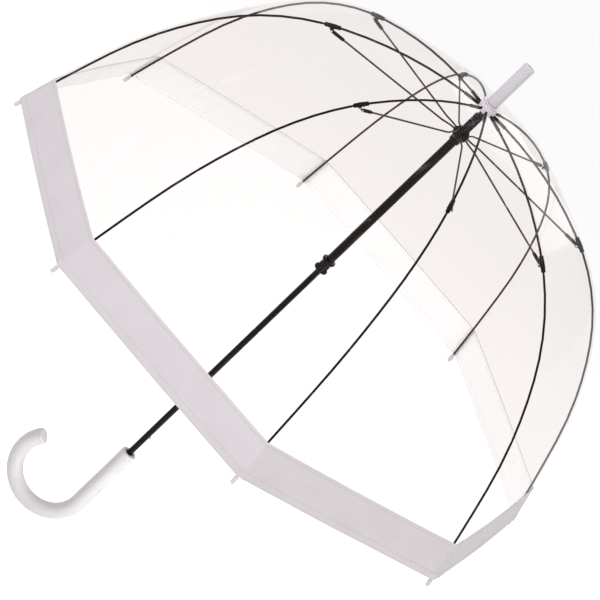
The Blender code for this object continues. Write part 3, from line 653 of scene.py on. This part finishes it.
# Clear panels: eight gores of 0.2 mm PVC film, welded edge to edge along the ribs and drawn tight
# over them. Each is made here as half gores that ride on the rib lengths.
clear_pvc = bpy.data.materials.new("clear_pvc")
clear_pvc.use_nodes = True
tree = clear_pvc.node_tree
tree.nodes.clear()
film_uv = node(tree, "UVMap", {"uv_map": "laid_flat"}).outputs[0]
broad_way = node(tree, "VectorMath", {"operation": "MULTIPLY"}, in0=film_uv, in1=(9.0, 3.0, 1.0))
broad = node(tree, "TexNoise", Vector=broad_way.outputs[0], Scale=1.0, Detail=3.0, Roughness=0.5, Distortion=0.4)
taut_way = node(tree, "VectorMath", {"operation": "MULTIPLY"}, in0=film_uv, in1=(70.0, 6.0, 1.0))
taut = node(tree, "TexNoise", Vector=taut_way.outputs[0], Scale=1.0, Detail=2.0, Roughness=0.5, Distortion=0.8)
bumpy = node(tree, "Math", {"operation": "MULTIPLY_ADD"}, in0=taut.outputs[0], in1=0.12, in2=broad.outputs[0])
# Thin white streaks along crease lines in the film: the creases whitened as painted highlights.
off_middle = node(tree, "Math", {"operation": "SUBTRACT"}, in0=taut.outputs[0], in1=0.52)
ridge = node(tree, "Math", {"operation": "ABSOLUTE"}, in0=off_middle.outputs[0])
thin_line = node(tree, "MapRange", Value=ridge.outputs[0], From_Max=0.022, To_Min=1.0, To_Max=0.0)
patch = node(tree, "MapRange", Value=broad.outputs[0], From_Min=0.55, From_Max=0.70)
crease_highlight = node(tree, "Math", {"operation": "MULTIPLY"}, in0=thin_line.outputs[0], in1=patch.outputs[0])
# The film's clear colour darkens from the crown down towards the hem: painted shade.
split_uv = node(tree, "SeparateXYZ", Vector=film_uv)
painted_shade_down = node(tree, "MapRange", Value=split_uv.outputs[1], From_Min=0.05, From_Max=0.60)
HIGH_TINT, LOW_PAINTED_SHADE_TINT, EDGE_TINT = (0.984, 0.970, 0.963, 1), (0.925, 0.900, 0.886, 1), (0.93, 0.92, 0.915, 1)
painted_shade_tint = node(tree, "MixRGB", Fac=painted_shade_down.outputs[0], Color1=HIGH_TINT, Color2=LOW_PAINTED_SHADE_TINT)
raised = node(tree, "Bump", Strength=0.35, Distance=0.004, Height=bumpy.outputs[0])
smooth_facing = node(tree, "LayerWeight", Blend=0.5).outputs["Facing"]
edge_on = node(tree, "Math", {"operation": "POWER"}, in0=smooth_facing, in1=5.0)
deeper = node(tree, "MixRGB", Fac=edge_on.outputs[0], Color1=painted_shade_tint.outputs[0], Color2=EDGE_TINT)
through = node(tree, "BsdfTransparent", Color=deeper.outputs[0])
shine = node(tree, "BsdfPrincipled", Base_Color=(0.96, 0.95, 0.95, 1), Metallic=1.0, Roughness=0.07)
tree.links.new(raised.outputs[0], shine.inputs["Normal"])
facing = node(tree, "LayerWeight", Blend=0.5, Normal=raised.outputs[0]).outputs["Facing"]
steep = node(tree, "Math", {"operation": "POWER"}, in0=facing, in1=4.0)
mirror = node(tree, "Math", {"operation": "MULTIPLY_ADD"}, in0=steep.outputs[0], in1=0.25, in2=0.003)
skin_shader = node(tree, "MixShader", in0=mirror.outputs[0], in1=through.outputs[0], in2=shine.outputs[0])
# A white diffuse skin on the crease lines: painted highlight.
crease_highlight_white = node(tree, "BsdfPrincipled", Base_Color=(0.95, 0.93, 0.93, 1), Roughness=0.35)
part_crease_highlight = node(tree, "Math", {"operation": "MULTIPLY"}, in0=crease_highlight.outputs[0], in1=0.30)
with_crease_highlights = node(tree, "MixShader", in0=part_crease_highlight.outputs[0], in1=skin_shader.outputs[0], in2=crease_highlight_white.outputs[0])
node(tree, "OutputMaterial", in0=with_crease_highlights.outputs[0])

FILM_LIFT = 0.00405
GORE = pi / RIBS  # half a panel, seen from above
BULGE_TOP, BULGE_HEM = 0.30, 0.06
FILM_FROM, BAND_FROM, BAND_TO = 0.022, 0.5814, 0.6354
PANEL_APART = 1.37  # each panel's own stretch of the pattern


def panel_point(s, away, rib, side, lift, out_up=None, bulge=None):
    """A point of the canopy at arc length s, away from 0 on the rib to 1 at the panel's middle."""
    out, up = beside_rib(s, lift) if out_up is None else out_up
    if bulge is None:
        bulge = BULGE_TOP + (BULGE_HEM - BULGE_TOP) * s / RIB_LENGTH
    flat = np.cos(GORE) / np.cos(GORE * (1 - away))
    share = flat + (1 - flat) * bulge
    a = rib_turn(rib) + side * GORE * away
    return np.stack([out * share * np.cos(a), out * share * np.sin(a), up + 0 * a], -1)


def laid_flat(s, away, rib, side):
    """Where a point lies on its panel cut flat: across from the panel's middle, and down from the crown."""
    out, _ = beside_rib(s, 0)
    panel = (rib if side > 0 else rib - 1) % RIBS
    return np.stack([-side * out * GORE * (1 - away) + panel * PANEL_APART, s], -1)


def grid_mesh(name, points, normals, uvs, facing, back=None):
    """A mesh over a grid of points, seen from the side of its normals. A back closes it round a second grid."""
    rows, columns = points.shape[:2]
    at = np.arange(rows * columns).reshape(rows, columns)
    quads = np.stack([at[:-1, :-1], at[:-1, 1:], at[1:, 1:], at[1:, :-1]], -1).reshape(-1, 4)
    if facing > 0:
        quads = quads[:, ::-1]
    verts, vector, uv = points.reshape(-1, 3), normals.reshape(-1, 3), uvs.reshape(-1, 2)
    if back is not None:
        count = rows * columns
        rim = np.concatenate([at[0], at[1:, -1], at[-1, -2::-1], at[-2:0:-1, 0]])
        after = np.roll(rim, -1)
        walls = np.stack([rim, rim + count, after + count, after], -1)
        if facing > 0:
            walls = walls[:, ::-1]
        quads = np.concatenate([quads, quads[:, ::-1] + count, walls])
        verts = np.concatenate([verts, back.reshape(-1, 3)])
        vector, uv = np.concatenate([vector, -vector]), np.concatenate([uv, uv])
    mesh = bpy.data.meshes.new(name)
    mesh.from_pydata(verts.tolist(), [], quads.tolist())
    layer = mesh.uv_layers.new(name="laid_flat")
    corner = np.zeros(len(mesh.loops), np.int32)
    mesh.loops.foreach_get("vertex_index", corner)
    layer.data.foreach_set("uv", uv[corner].astype(np.float32).ravel())
    mesh.shade_smooth()
    mesh.normals_split_custom_set_from_vertices(vector.tolist())
    return mesh


def half_gore(name, s_list, rib, side, lift, thickness=None, ruck=None, columns=12):
    """Half a panel beside a rib over the arc lengths of s_list, with normals that run on into its neighbours."""
    s, away = np.meshgrid(np.array(s_list, float), np.linspace(0, 1, columns), indexing="ij")

    def surface(s, away, lift):
        plain = panel_point(s, away, rib, side, lift)
        if ruck is None:
            return plain
        out, up = ruck(s, away, rib, side), slope_at(s)
        a = rib_turn(rib) + side * GORE * away
        push = np.stack([np.sin(up) * np.cos(a), np.sin(up) * np.sin(a), np.cos(up)], -1)
        return plain + push * out[..., None]

    step = 1e-4
    here = surface(s, away, lift)
    down = surface(s + step, away, lift) - surface(s - step, away, lift)
    across = surface(s, np.minimum(away + step, 1.0), lift) - surface(s, np.maximum(away - step, 0.0), lift)
    normal = np.cross(down, across) * side
    normal /= np.linalg.norm(normal, axis=-1, keepdims=True)
    back = None
    if thickness is not None:
        back = here - normal * thickness
    return grid_mesh(name, here, normal, laid_flat(s, away, rib, side), side, back), here


def gather(piece):
    """Gives a half gore its own copy of its mesh."""
    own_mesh(piece)


MIDWAY = 0.330
film_lengths = (
    ("upper", "upper", FILM_FROM, ELBOW, 19, 20),
    ("shoulder", "middle", ELBOW, MIDWAY, 10, 36),
    ("side", "middle", MIDWAY, LOWER_ELBOW, 10, 50),
    ("lower", "lower", LOWER_ELBOW, BAND_FROM, 13, 63),
)
for rib in range(1, RIBS + 1):
    for side, hand in ((1, "a"), (-1, "b")):
        for label, length, start, end, rows, slope in film_lengths:
            name = f"film_{label}_{rib}{hand}"
            mesh, points = half_gore(name, np.linspace(start, end, rows), rib, side, FILM_LIFT)
            piece = place(name, mesh, clear_pvc, f"rib_{length}_{rib}", "clear_film", "canopy_film")
            gather(piece)

# Clear crown gathers: the eight gores' points, turned up over the rib heads to the collar of film
# that the ferrule clamps on the crown.
FERRULE_Z = 0.753
COLLAR_R, COLLAR_HOLE_R = 0.0129, 0.0046
collar_z = FERRULE_Z - 0.00055
gather_rows, gather_columns = 8, 17
for rib in range(1, RIBS + 1):
    out_end, up_end = (float(v) for v in beside_rib(FILM_FROM, FILM_LIFT))
    rows = []
    for t in np.linspace(0, 1, gather_rows):
        pull = 0.6 * (out_end - COLLAR_R)
        first = np.array([COLLAR_R, collar_z])
        last = np.array([out_end, up_end])
        end_slope = slope_at(FILM_FROM)
        second = first + pull * np.array([0.8, -0.35])
        before = last - pull * np.array([cos(end_slope), -sin(end_slope)])
        ends = first * (1 - t) ** 3 + last * t**3
        rows.append(ends + second * 3 * t * (1 - t) ** 2 + before * 3 * t * t * (1 - t))
    rows = np.array(rows)
    end_bulge = BULGE_TOP + (BULGE_HEM - BULGE_TOP) * FILM_FROM / RIB_LENGTH
    signed = np.linspace(-1, 1, gather_columns)
    out = rows[:, :1] + 0 * signed
    up = rows[:, 1:] + 0 * signed
    t_grid = np.linspace(0, 1, gather_rows)[:, None] + 0 * signed
    bulge = 1 + (end_bulge - 1) * t_grid
    points = panel_point(0 * t_grid, np.abs(signed) + 0 * t_grid, rib, 1, 0, (out, up), bulge)
    a = rib_turn(rib) + signed * GORE + 0 * t_grid
    spread_out = np.linalg.norm(points[..., :2], axis=-1)
    points = np.stack([spread_out * np.cos(a), spread_out * np.sin(a), up], -1)
    normal = np.cross(np.gradient(points, axis=0), np.gradient(points, axis=1))
    normal /= np.linalg.norm(normal, axis=-1, keepdims=True)
    uvs = np.stack([signed * 0.01 + rib * PANEL_APART + 0 * t_grid, t_grid * FILM_FROM], -1)
    name = f"film_gather_{rib}"
    piece = place(name, grid_mesh(name, points, normal, uvs, 1), clear_pvc, None, "clear_film", "canopy_film")
    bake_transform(piece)

collar_out = np.linspace(COLLAR_HOLE_R, COLLAR_R, 5)[:, None] + np.zeros(49)
collar_a = np.linspace(0, 2 * pi, 49)[None, :] + 0 * collar_out
points = np.stack([collar_out * np.cos(collar_a), collar_out * np.sin(collar_a), 0 * collar_a + collar_z], -1)
normal = np.zeros_like(points)
normal[..., 2] = 1
collar = place(
    "film_collar",
    grid_mesh("film_collar", points, normal, np.stack([collar_a * 0.01, collar_out], -1), 1),
    clear_pvc,
    "shaft",
    "clear_film",
    "canopy_film",
)

# Border: a band of white polyester taffeta lapped over the film's edge, with a turned hem along
# the bottom. It is sewn down at the ribs, where it rucks a little, and is tied to the tips.
weave, given, put = new_group(
    "taffeta",
    [
        ("Colour", "Color", (0.8, 0.8, 0.8, 1)),
        ("Shade Colour", "Color", (0.7, 0.7, 0.7, 1)),
        ("Pitch", "Float", 0.0007),
        ("Seam Colour", "Color", (0.6, 0.6, 0.6, 1)),
    ],
    [("Colour", "Color"), ("Roughness", "Float"), ("Height", "Float")],
)
cloth_uv = node(weave, "UVMap", {"uv_map": "laid_flat"}).outputs[0]
per_thread = node(weave, "Math", {"operation": "DIVIDE"}, in0=1.0, in1=given.outputs["Pitch"])
threads = node(weave, "VectorMath", {"operation": "SCALE"}, in0=cloth_uv, Scale=per_thread.outputs[0])
split = node(weave, "SeparateXYZ", Vector=threads.outputs[0])
sines = []
for k in (0, 1):
    turns = node(weave, "Math", {"operation": "MULTIPLY"}, in0=split.outputs[k], in1=2 * pi)
    sines.append(node(weave, "Math", {"operation": "SINE"}, in0=turns.outputs[0]).outputs[0])
crossed = node(weave, "Math", {"operation": "MULTIPLY"}, in0=sines[0], in1=sines[1])
slubs = []
for ways in ((420.0, 14.0, 1.0), (14.0, 420.0, 1.0)):
    run = node(weave, "VectorMath", {"operation": "MULTIPLY"}, in0=cloth_uv, in1=ways)
    slubs.append(node(weave, "TexNoise", Vector=run.outputs[0], Scale=1.0, Detail=2.0).outputs[0])
slub = node(weave, "Math", {"operation": "ADD"}, in0=slubs[0], in1=slubs[1])
cloud = node(weave, "TexNoise", Vector=cloth_uv, Scale=26.0, Detail=3.0)
mixed = node(weave, "Math", {"operation": "MULTIPLY_ADD"}, in0=slub.outputs[0], in1=0.5, in2=cloud.outputs[0])
tone = node(weave, "MapRange", Value=mixed.outputs[0], From_Min=0.70, From_Max=1.30)
cloth_tone = node(
    weave, "MixRGB", Fac=tone.outputs[0], Color1=given.outputs["Colour"], Color2=given.outputs["Shade Colour"]
)
cloth_ways = node(weave, "SeparateXYZ", Vector=cloth_uv)
seam_mask = 0.0
for at in (0.5858, 0.6262, 0.6340):  # rows of lockstitch: the lap, the hem and the hem's edge
    off = node(weave, "Math", {"operation": "SUBTRACT"}, in0=cloth_ways.outputs[1], in1=at)
    gap = node(weave, "Math", {"operation": "ABSOLUTE"}, in0=off.outputs[0])
    near = node(
        weave, "MapRange", Value=gap.outputs[0], From_Min=0.0002, From_Max=0.0007, To_Min=1.0, To_Max=0.0
    )
    seam_mask = node(weave, "Math", {"operation": "MAXIMUM"}, in0=seam_mask, in1=near.outputs[0]).outputs[0]
STITCH = 0.0028
stitch_run = node(weave, "Math", {"operation": "MULTIPLY"}, in0=cloth_ways.outputs[0], in1=2 * pi / STITCH)
stitch_wave = node(weave, "Math", {"operation": "SINE"}, in0=stitch_run.outputs[0])
stitch_on = node(weave, "MapRange", Value=stitch_wave.outputs[0], From_Min=-0.6, From_Max=0.0)
stitched = node(weave, "Math", {"operation": "MULTIPLY"}, in0=seam_mask, in1=stitch_on.outputs[0])
part_sewn = node(weave, "Math", {"operation": "MULTIPLY"}, in0=stitched.outputs[0], in1=0.6)
sewn = node(
    weave, "MixRGB", Fac=part_sewn.outputs[0], Color1=cloth_tone.outputs[0], Color2=given.outputs["Seam Colour"]
)
high = node(weave, "Math", {"operation": "MULTIPLY_ADD"}, in0=slub.outputs[0], in1=0.8, in2=crossed.outputs[0])
dented = node(weave, "Math", {"operation": "MULTIPLY_ADD"}, in0=stitched.outputs[0], in1=-2.5, in2=high.outputs[0])
cloth_rough = node(weave, "MapRange", Value=cloud.outputs[0], To_Min=0.58, To_Max=0.72)
weave.links.new(sewn.outputs[0], put.inputs["Colour"])
weave.links.new(cloth_rough.outputs[0], put.inputs["Roughness"])
weave.links.new(dented.outputs[0], put.inputs["Height"])


def taffeta(name, colour, shade, painted_glow=0.0):
    """Taffeta, with a little painted glow that stands in for light coming through the weave."""
    made = bpy.data.materials.new(name)
    made.use_nodes = True
    tree = made.node_tree
    base = tree.nodes["Principled BSDF"]
    group = tree.nodes.new("ShaderNodeGroup")
    group.node_tree = weave
    group.inputs["Colour"].default_value = (*colour, 1)
    group.inputs["Shade Colour"].default_value = (*shade, 1)
    group.inputs["Seam Colour"].default_value = (*(0.72 * c for c in colour), 1)
    raised = node(tree, "Bump", Strength=0.25, Distance=0.00012, Height=group.outputs["Height"])
    tree.links.new(group.outputs["Colour"], base.inputs["Base Color"])
    tree.links.new(group.outputs["Roughness"], base.inputs["Roughness"])
    tree.links.new(raised.outputs[0], base.inputs["Normal"])
    base.inputs["Specular IOR Level"].default_value = 0.3
    base.inputs["Sheen Weight"].default_value = 0.25
    base.inputs["Sheen Roughness"].default_value = 0.4
    # Emission gives the back a painted glow; the band is no lamp.
    base.inputs["Emission Color"].default_value = (1, 0.985, 0.985, 1)
    base.inputs["Emission Strength"].default_value = painted_glow
    return made


# One white taffeta in two copies: the outer face darkened as painted shade, the inner back paled and glowing as
# painted light.
taffeta_painted_shade_face = taffeta("taffeta_painted_shade_face", (0.660, 0.612, 0.636), (0.622, 0.577, 0.600))
taffeta_painted_light_back = taffeta("taffeta_painted_light_back", (0.97, 0.96, 0.965), (0.95, 0.94, 0.945), painted_glow=0.07)
BAND_THICK = 0.0008
BAND_COLUMNS = 25
band_rows = [BAND_FROM, 0.5818, 0.5862, 0.5868, 0.592, 0.598, 0.604, 0.610]
band_rows += [0.616, 0.6215, 0.6256, 0.6264, 0.6305, 0.6350, BAND_TO]


def band_ruck(s, away, rib, side):
    """How far the band stands off its even surface: lap, turned hem, pleats fanning from the tip, and slack."""
    out, _ = beside_rib(s, 0)
    off_rib = away * out * GORE
    above_tip = BAND_TO + 0.006 - s
    from_tip, fan = np.hypot(off_rib, above_tip), np.arctan2(off_rib, above_tip)
    pleats = 0.0011 * np.exp(-from_tip / 0.034) * np.sin(9 * fan + rib * 2.4) * np.minimum(1, off_rib / 0.006)
    panel = (rib if side > 0 else rib - 1) % RIBS
    across = -side * out * GORE * (1 - away)
    wave = 0.0009 * np.sin(38 * across + 1.9 * panel) * np.sin((s - BAND_FROM) * 44 + panel)
    wave = wave * np.sin(away * pi / 2) ** 0.5
    lap = 0.00030 * (np.clip((0.5866 - s) / 0.0006, 0, 1) + np.clip((s - 0.6258) / 0.0006, 0, 1))
    edge = -0.0003 * (np.clip((0.5817 - s) / 0.0003, 0, 1) + np.clip((s - 0.6351) / 0.0003, 0, 1))
    return pleats + wave * np.minimum(1, np.minimum(s - BAND_FROM, 0.06) / 0.012) + lap + edge


for rib in range(1, RIBS + 1):
    for side, hand in ((1, "a"), (-1, "b")):
        name = f"border_{rib}{hand}"
        lift = FILM_LIFT + 0.0005
        mesh, points = half_gore(name, band_rows, rib, side, lift, BAND_THICK, band_ruck, BAND_COLUMNS)
        mesh.materials.append(taffeta_painted_shade_face)
        mesh.materials.append(taffeta_painted_light_back)
        outer_faces = (len(band_rows) - 1) * (BAND_COLUMNS - 1)
        which = np.zeros(len(mesh.polygons), np.int32)
        which[outer_faces:] = 1
        mesh.polygons.foreach_set("material_index", which)
        piece = place(name, mesh, taffeta_painted_shade_face, f"rib_lower_{rib}", "white_fabric", "hem_band")
        gather(piece)

# Ferrule: a white ABS sleeve glued on the shaft's top over the film's collar. Its end is dished,
# with a raised rim.
white_abs = finish(
    "white_abs",
    bump=0.012,
    depth=0.00008,
    shader={"Specular IOR Level": 0.40, "Coat Weight": 0.12, "Coat Roughness": 0.26},
    Colour=(0.58, 0.548, 0.585, 1),
    Second_Colour=(0.55, 0.52, 0.555, 1),
    Scale=14.0,
    Roughness_Low=0.30,
    Roughness_High=0.42,
)
FERRULE_R, FERRULE_LENGTH = 0.0084, 0.0674
ferrule_top = FERRULE_Z + FERRULE_LENGTH
ferrule_profile = [
    (BORE_R, FERRULE_Z + 0.0233),
    (BORE_R, FERRULE_Z),
    *fillet((FERRULE_R, FERRULE_Z), (0.0045, FERRULE_Z), (FERRULE_R, ferrule_top), 0.0007, 4),
    (FERRULE_R * 0.985, FERRULE_Z + 0.012),
    (FERRULE_R * 0.985, ferrule_top - 0.010),
    (FERRULE_R, ferrule_top - 0.004),
    *fillet((FERRULE_R, ferrule_top), (FERRULE_R, FERRULE_Z), (0.0066, ferrule_top), 0.0009, 4),
    *fillet((0.0066, ferrule_top), (FERRULE_R, ferrule_top), (0.0066, ferrule_top - 0.0006), 0.0003, 2),
    (0.0062, ferrule_top - 0.0006),
    (0.0010, ferrule_top - 0.0009),
]
place("ferrule_sleeve", turned("ferrule_sleeve", ferrule_profile, 48), white_abs, "shaft", "white_plastic", "ferrule")

# Rosette: a thin disc of white vinyl with eight soft lobes, laid over the film round the ferrule's
# foot to stop it tearing.
ROSETTE_HOLE_R, ROSETTE_THICK = 0.0086, 0.0003
rosette_points = []
for share in (0.0, 0.35, 0.7, 1.0):
    row = []
    for k in range(97):
        a = 2 * pi * k / 96
        lobe = 0.5 + 0.5 * cos(RIBS * (a - rib_turn(1)))
        rim = 0.0122 + 0.0022 * lobe
        r = ROSETTE_HOLE_R + (rim - ROSETTE_HOLE_R) * share
        row.append((r * cos(a), r * sin(a), FERRULE_Z - 0.0001 - 0.0009 * share**2))
    rosette_points.append(row)
rosette_points = np.array(rosette_points)
normal = np.cross(np.gradient(rosette_points, axis=0), np.gradient(rosette_points, axis=1))
normal /= np.linalg.norm(normal, axis=-1, keepdims=True)
rosette = place(
    "rosette",
    grid_mesh("rosette", rosette_points, normal, rosette_points[..., :2], 1, rosette_points - normal * ROSETTE_THICK),
    white_nylon,
    "shaft",
    "clear_film",
)
